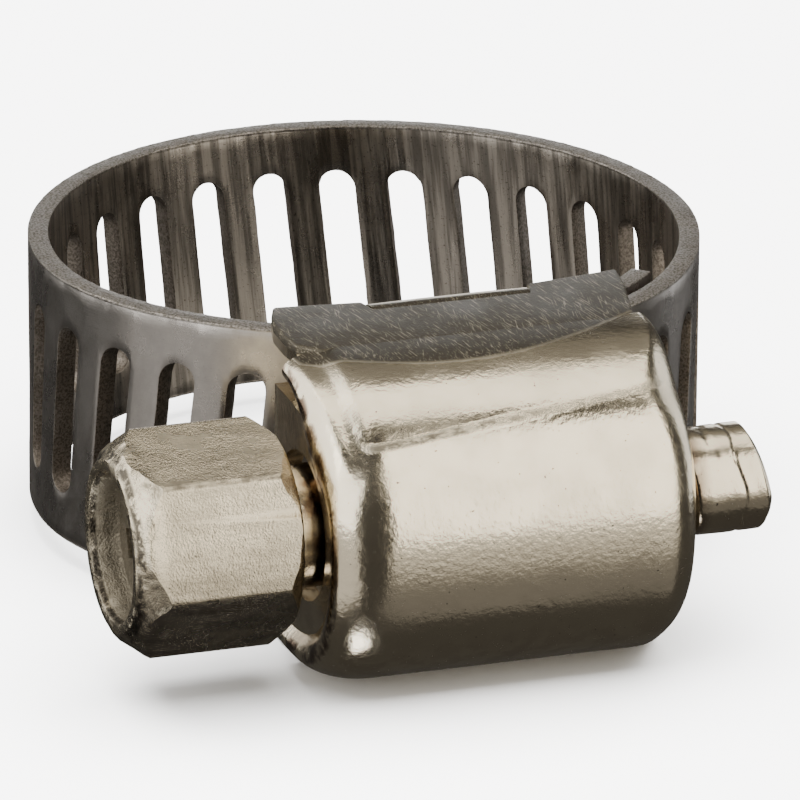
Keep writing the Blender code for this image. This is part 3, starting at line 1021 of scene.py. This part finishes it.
def tail(sizes):
    """The screw's tail: a rolled groove by the housing, a faint seam, and an end cut off slightly askew."""
    start, end, count, sides = 3.9 * MM, sizes.tail_end, 64, 96
    rows = []
    for step in range(count + 1):
        place = start + (end - start) * step / count
        row = []
        for side in range(sides):
            turn = 2 * math.pi * side / sides
            radius = sizes.tail_radius
            helix = ((place - 5.45 * MM) / (1.1 * MM) - 0.55 * turn / math.pi) % 1.0
            groove = math.exp(-(((helix - 0.5) / 0.13) ** 2)) * float(eased((6.2 * MM - place) / (0.7 * MM)))
            radius -= 0.17 * MM * groove
            seam = math.exp(-(((place - 6.72 * MM - 0.08 * MM * math.sin(5 * turn)) / (0.07 * MM)) ** 2))
            radius -= 0.03 * MM * seam
            around = Vector((place / MM * 1.7, math.cos(turn) * 1.6, math.sin(turn) * 1.6))
            radius += 0.02 * MM * noise.noise(around)
            askew = 0.30 * MM * math.cos(turn) * float(eased((place - 6.2 * MM) / (1.4 * MM)))
            radius -= 0.20 * MM * float(eased((place - (end - 0.22 * MM)) / (0.22 * MM))) ** 2
            row.append(round_axis(place - max(askew, -0.05 * MM), sizes.axis_y, radius, turn))
        rows.append(row)
    bm = bmesh.new()
    verts = grid_surface(bm, rows, close_columns=True)
    bm.faces.new(verts[0])
    bm.faces.new(verts[-1])
    face_out(bm)
    return mesh_object("tail", bm)


def build_screw(sizes, band, finishes):
    finish = worn_nickel("screw_nickel", finishes.screw_nickel, finishes, 0.21, screw_marks)
    profile = [
        (sizes.head_back - 0.8 * MM, 0.0),
        (sizes.head_back - 0.8 * MM, sizes.neck_radius),
        (-4.65 * MM, sizes.neck_radius),
        (-4.55 * MM, sizes.root_radius),
        (3.95 * MM, sizes.root_radius),
        (4.05 * MM, sizes.tail_radius),
        (4.2 * MM, 0.0),
    ]
    core = turned("core", profile, 72, sizes.axis_y)
    pieces = [head(sizes), core, worm_thread(sizes, band.slot_pitch, finish), tail(sizes)]
    screw = joined(pieces, "clamp_screw")
    shade(screw, 28.0)
    finished(screw, finish, "screw", "screw_nickel", "worm_screw")


# --- the stage ---

LOOK_AT = Vector((0.0, -11.0 * MM, 0.0))


def toward(azimuth, elevation):
    """A direction: azimuth from -Y toward +X, and elevation above the floor."""
    a, e = math.radians(azimuth), math.radians(elevation)
    return Vector((math.sin(a) * math.cos(e), -math.cos(a) * math.cos(e), math.sin(e)))


def panel(name, azimuth, elevation, distance, width, height, radiance, tint=(1.0, 1.0, 1.0), seen=True):
    """A soft lamp that faces the clamp, as bright as a surface of this radiance."""
    data = bpy.data.lights.new(name, "AREA")
    data.shape = "RECTANGLE"
    data.size, data.size_y = width, height
    data.energy = radiance * math.pi * width * height
    data.color = tint
    lamp = bpy.data.objects.new(name, data)
    lamp.location = LOOK_AT + toward(azimuth, elevation) * distance
    lamp.rotation_euler = (LOOK_AT - lamp.location).to_track_quat("-Z", "Y").to_euler()
    lamp.visible_glossy = seen
    bpy.context.scene.collection.objects.link(lamp)


def build_lamps():
    warm = (1.0, 0.95, 0.86)
    cool = (1.0, 0.985, 0.955)
    # name, azimuth, elevation, distance, width, height, radiance, tint
    panel("front_panel", 36.0, 24.5, 0.36, 0.37, 0.573, 2.5, warm)
    panel("front_mid_panel", 36.0, -19.0, 0.36, 0.37, 0.063, 0.6, warm)
    panel("front_low_panel", 36.0, -37.0, 0.36, 0.37, 0.166, 0.12, (1.0, 0.95, 0.88))
    panel("overhead_panel", 180.0, 77.0, 0.36, 0.42, 0.225, 2.1, warm)
    panel("back_high_panel", 170.0, 44.0, 0.36, 0.30, 0.13, 0.15, (1.0, 0.93, 0.80))
    panel("left_panel", -71.0, 18.0, 0.36, 0.40, 0.313, 2.6, cool)
    panel("left_back_panel", -128.0, 25.0, 0.36, 0.367, 0.416, 2.2, cool)
    panel("left_low_panel", -66.0, -21.0, 0.36, 0.43, 0.193, 0.62, (1.0, 0.96, 0.91))
    panel("right_panel", 112.0, 10.0, 0.40, 0.20, 0.40, 1.2)
    panel("back_panel", 164.0, 5.0, 0.40, 0.16, 0.11, 3.0)
    panel("under_card", -44.0, -69.0, 0.30, 0.10, 0.10, 4.5)
    panel("floor_lamp", 0.0, 89.0, 0.60, 0.90, 0.90, 18.0, seen=False)


def build_floor(sizes):
    half = 1.2
    corners = ((-half, -half), (half, -half), (half, half), (-half, half))
    bm = bmesh.new()
    bm.faces.new([bm.verts.new((x, y, FLOOR_HEIGHT)) for x, y in corners])
    floor = mesh_object("floor", bm)
    made = bpy.data.materials.new("floor")
    made.use_nodes = True
    tree = made.node_tree
    tone = blended(grain(coordinates(tree), 30.0), sizes.floor, scaled(sizes.floor, 0.985))
    shader = tree.nodes["Principled BSDF"]
    tree.links.new(tone.socket, shader.inputs["Base Color"])
    shader.inputs["Roughness"].default_value = 0.9
    shader.inputs["Specular IOR Level"].default_value = 0.1
    floor.data.materials.append(made)
    floor.visible_glossy = False


def build_world():
    world = bpy.data.worlds.new("studio")
    world.use_nodes = True
    ground = world.node_tree.nodes["Background"]
    ground.inputs["Color"].default_value = (0.055, 0.052, 0.048, 1.0)
    bpy.context.scene.world = world


def build_camera(sizes):
    azimuth, elevation, roll = -18.53, 20.47, -0.38
    back = toward(azimuth, elevation)
    right = Vector((math.cos(math.radians(azimuth)), math.sin(math.radians(azimuth)), 0.0))
    up = back.cross(right)
    turn = Matrix((right, up, back)).transposed() @ Matrix.Rotation(math.radians(-roll), 3, "Z")
    data = bpy.data.cameras.new("view")
    data.lens = sizes.lens
    data.sensor_width = 36.0
    data.clip_start, data.clip_end = 0.01, 10.0
    camera = bpy.data.objects.new("view", data)
    slide = turn @ Vector((1.085 * MM, -1.25 * MM, 0.0))
    camera.matrix_world = Matrix.Translation(back * sizes.distance + slide) @ turn.to_4x4()
    bpy.context.scene.collection.objects.link(camera)
    bpy.context.scene.camera = camera


# --- operators, panel and registration ---


class CLAMP_OT_band(bpy.types.Operator):
    """Build the slotted band, bent from the housing's body through each link to the free end."""

    bl_idname = "clamp.band"
    bl_label = "Build band"

    def execute(self, context):
        build_band(context.scene.clamp_band, context.scene.clamp_finishes)
        return {"FINISHED"}


class CLAMP_OT_housing(bpy.types.Operator):
    """Build the domed housing."""

    bl_idname = "clamp.housing"
    bl_label = "Build housing"

    def execute(self, context):
        scene = context.scene
        build_housing(scene.clamp_housing, scene.clamp_screw, scene.clamp_finishes)
        return {"FINISHED"}


class CLAMP_OT_screw(bpy.types.Operator):
    """Build the hexagon-headed worm screw."""

    bl_idname = "clamp.screw"
    bl_label = "Build screw"

    def execute(self, context):
        scene = context.scene
        build_screw(scene.clamp_screw, scene.clamp_band, scene.clamp_finishes)
        return {"FINISHED"}


class CLAMP_OT_stage(bpy.types.Operator):
    """Set the floor, the lamps and the camera."""

    bl_idname = "clamp.stage"
    bl_label = "Build stage"

    def execute(self, context):
        sizes = context.scene.clamp_stage
        build_floor(sizes)
        build_world()
        build_lamps()
        build_camera(sizes)
        return {"FINISHED"}


class CLAMP_PT_panel(bpy.types.Panel):
    """The clamp's sizes, finishes and operators."""

    bl_idname = "CLAMP_PT_panel"
    bl_label = "Hose clamp"
    bl_space_type = "VIEW_3D"
    bl_region_type = "UI"
    bl_category = "Hose clamp"

    def draw(self, context):
        for operator in (CLAMP_OT_band, CLAMP_OT_housing, CLAMP_OT_screw, CLAMP_OT_stage):
            self.layout.operator(operator.bl_idname)
        for name in SETTINGS:
            box = self.layout.box()
            group = getattr(context.scene, name)
            for key in group.__annotations__:
                box.prop(group, key)


SETTINGS = {
    "clamp_band": BandSizes,
    "clamp_screw": ScrewSizes,
    "clamp_housing": HousingSizes,
    "clamp_finishes": Finishes,
    "clamp_stage": StageSizes,
}
OPERATORS = (CLAMP_OT_band, CLAMP_OT_housing, CLAMP_OT_screw, CLAMP_OT_stage)


def register():
    for made in (*SETTINGS.values(), *OPERATORS, CLAMP_PT_panel):
        bpy.utils.register_class(made)
    for name, group in SETTINGS.items():
        setattr(bpy.types.Scene, name, PointerProperty(type=group))


def unregister():
    for name in SETTINGS:
        delattr(bpy.types.Scene, name)
    for made in reversed((*SETTINGS.values(), *OPERATORS, CLAMP_PT_panel)):
        bpy.utils.unregister_class(made)


def main():
    register()
    for build in (bpy.ops.clamp.band, bpy.ops.clamp.housing, bpy.ops.clamp.screw, bpy.ops.clamp.stage):
        build()


if __name__ == "__main__":
    main()
